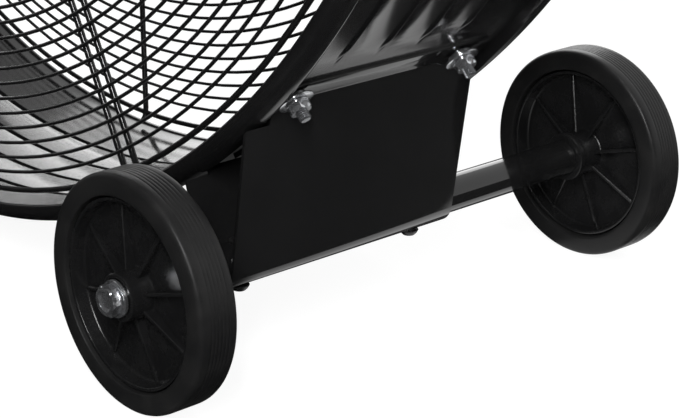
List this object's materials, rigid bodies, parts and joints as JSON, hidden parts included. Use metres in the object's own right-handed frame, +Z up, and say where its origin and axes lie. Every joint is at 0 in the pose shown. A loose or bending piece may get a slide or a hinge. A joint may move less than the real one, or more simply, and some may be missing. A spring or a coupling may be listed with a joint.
{
  "type": "drum fan",
  "caption": "Portable drum fan: rolled ribbed drum with wire grilles, bladed wheel on a direct-drive motor, folded axle bracket with wheels, rubber-footed leg tube, handle and switch box.",
  "frame": {"origin": "middle of the fan's bounding box at floor level", "axes": "+Y along the drum's axis from the outlet grille to the intake grille, +X towards the axle and wheels, +Z up"},
  "size_m": [1.1884, 0.4506, 1.1901],
  "materials": {
    "paint": "gloss black enamel",
    "zinc": "bright zinc plating",
    "dark_fastener": "black oxide",
    "steel": "ground steel",
    "aluminium": "mill finish",
    "cast": "satin black paint",
    "tyre": "smooth black rubber",
    "rubber": "matte black rubber",
    "plastic": "satin black moulding",
    "copper": "enamelled copper winding"
  },
  "bodies": {
    "chassis": {"drum_shell": "paint", "front_grille": "paint", "rear_grille": "paint", "axle_bracket": "paint", "foot_bracket": "paint", "bracket_bolt_front": "zinc", "bracket_nut_front": "zinc", "foot_bolt_front": "zinc", "bracket_bolt_rear": "zinc", "bracket_nut_rear": "zinc", "foot_bolt_rear": "zinc", "axle_clamp_bolt_front": "dark_fastener", "axle_clamp_bolt_rear": "dark_fastener", "foot_clamp_bolt": "dark_fastener", "axle_tube": "paint", "wheel_bolt_front": "zinc", "axle_collar_front": "plastic", "wheel_bolt_rear": "zinc", "axle_collar_rear": "plastic", "foot_tube": "paint", "foot_pad_front": "rubber", "foot_pad_rear": "rubber", "handle_tube": "paint", "handle_grip": "rubber", "handle_screw_front": "zinc", "handle_screw_rear": "zinc", "motor_strut_upper": "paint", "motor_strut_lower": "paint", "strut_screw_upper_right": "zinc", "strut_screw_upper_left": "zinc", "strut_screw_lower_right": "zinc", "strut_screw_lower_left": "zinc", "motor_shell": "cast", "motor_front_bell": "cast", "motor_rear_bell": "cast", "motor_bearing_front": "steel", "motor_bearing_rear": "steel", "motor_stator": "copper", "motor_screw_upper": "zinc", "motor_screw_lower": "zinc", "switch_box": "paint", "switch_cover": "plastic", "rotary_switch": "plastic", "run_capacitor": "aluminium", "cable_gland": "plastic", "motor_lead": "rubber"},
    "fan": {"fan_hub": "cast", "fan_blade_1": "aluminium", "fan_blade_2": "aluminium", "fan_blade_3": "aluminium", "hub_screw": "zinc", "motor_shaft": "steel", "motor_rotor": "aluminium"},
    "wheel_front": {"wheel_hub_front": "plastic", "wheel_tyre_front": "tyre", "wheel_bush_front": "aluminium"},
    "wheel_rear": {"wheel_hub_rear": "plastic", "wheel_tyre_rear": "tyre", "wheel_bush_rear": "aluminium"},
    "knob": {"switch_knob": "plastic"}
  },
  "joints": [
    {"name": "fan_spin", "type": "hinge", "parent": "chassis", "child": "fan", "pos_m": [0.01106, -0.0325, 0.607], "axis": [0, 1, 0], "continuous": true},
    {"name": "front_wheel_spin", "type": "hinge", "parent": "chassis", "child": "wheel_front", "pos_m": [0.36906, -0.1975, 0.075], "axis": [0, 1, 0], "continuous": true},
    {"name": "rear_wheel_spin", "type": "hinge", "parent": "chassis", "child": "wheel_rear", "pos_m": [0.36906, 0.1975, 0.075], "axis": [0, 1, 0], "continuous": true},
    {"name": "knob_turn", "type": "hinge", "parent": "chassis", "child": "knob", "pos_m": [-0.33338, -0.1075, 1.09891], "axis": [0, -1, 0], "range_deg": [0, 120]}
  ]
}
